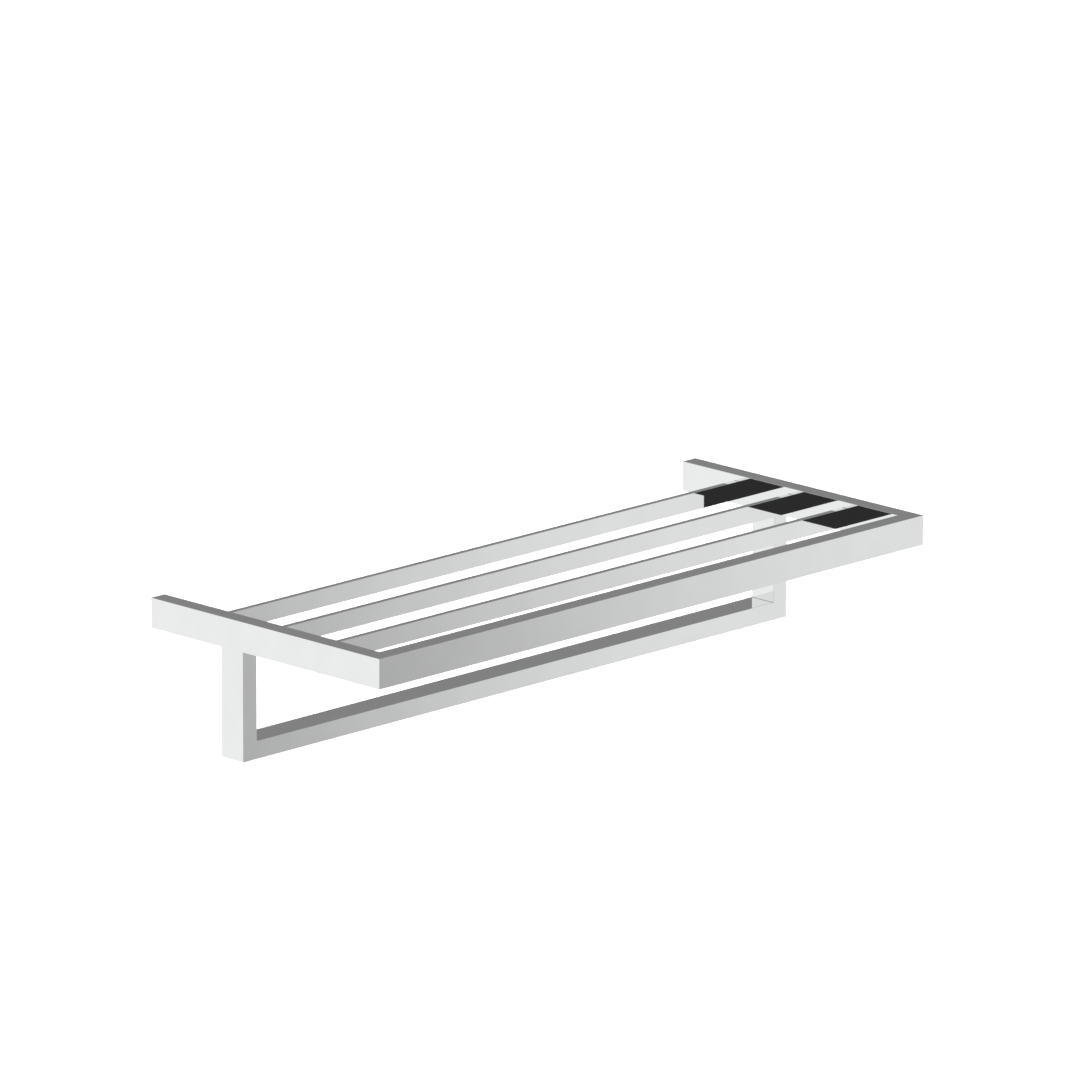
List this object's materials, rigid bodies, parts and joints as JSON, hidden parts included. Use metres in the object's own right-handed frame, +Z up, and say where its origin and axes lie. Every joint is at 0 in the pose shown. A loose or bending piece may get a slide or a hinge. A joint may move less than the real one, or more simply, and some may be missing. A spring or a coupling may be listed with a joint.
{
  "type": "towel rack",
  "caption": "Wall-mounted bathroom towel rack: an open slatted shelf in square-edged polished tube, with a towel rail hung below it on two posts.",
  "frame": {"origin": "midway between the two wall screws, on the wall plane where the arms end", "axes": "+X along the wall towards the rack's right-hand end as seen from the room, +Y into the wall, +Z up; the rack reaches out from the wall along -Y"},
  "size_m": [0.625, 0.26, 0.116],
  "materials": {
    "polished_chrome": "polished",
    "bracket_steel": "satin",
    "raw_steel": "satin",
    "screw_steel": "satin"
  },
  "bodies": {
    "root": {"side_arm_left": "polished_chrome", "side_arm_right": "polished_chrome", "front_bar": "polished_chrome", "slat_front": "polished_chrome", "slat_middle": "polished_chrome", "slat_back": "polished_chrome", "drop_post_left": "polished_chrome", "drop_post_right": "polished_chrome", "towel_rail": "polished_chrome", "front_corner_key_left": "raw_steel", "front_corner_key_right": "raw_steel", "rail_corner_key_left": "raw_steel", "rail_corner_key_right": "raw_steel", "post_spigot_left": "raw_steel", "post_spigot_right": "raw_steel", "wall_bracket_left": "bracket_steel", "wall_bracket_right": "bracket_steel", "set_screw_left": "screw_steel", "set_screw_right": "screw_steel"}
  },
  "joints": []
}
